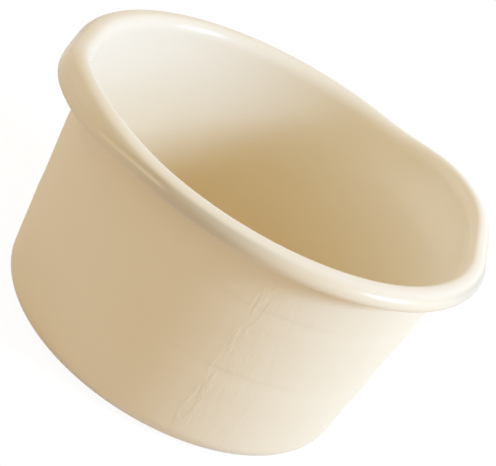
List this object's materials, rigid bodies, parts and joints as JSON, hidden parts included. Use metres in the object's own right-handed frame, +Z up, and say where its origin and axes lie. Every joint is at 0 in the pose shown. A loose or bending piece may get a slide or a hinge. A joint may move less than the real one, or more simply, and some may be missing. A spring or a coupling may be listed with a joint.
{
  "type": "commode bedpan",
  "caption": "Round tapered moulded-plastic bedpan of the commode type, with a rolled rim and two raised grips; holds waste, stands on its base or hangs by its rim.",
  "frame": {"origin": "on the ground under the middle of the floor", "axes": "+Z up; X through the two grips, right grip at +X; Y across, front rim at -Y"},
  "size_m": [0.3314, 0.3104, 0.1765],
  "materials": {
    "wall_plastic": "cream polypropylene, satin moulded wall with fine draw marks",
    "rim_plastic": "cream polypropylene, polished rolled rim"
  },
  "bodies": {
    "root": {"floor_plate": "wall_plastic", "base_corner": "wall_plastic", "lower_wall": "wall_plastic", "middle_wall": "wall_plastic", "front_rim": "rim_plastic", "rear_rim": "rim_plastic", "left_grip": "rim_plastic", "right_grip": "rim_plastic"}
  },
  "joints": []
}
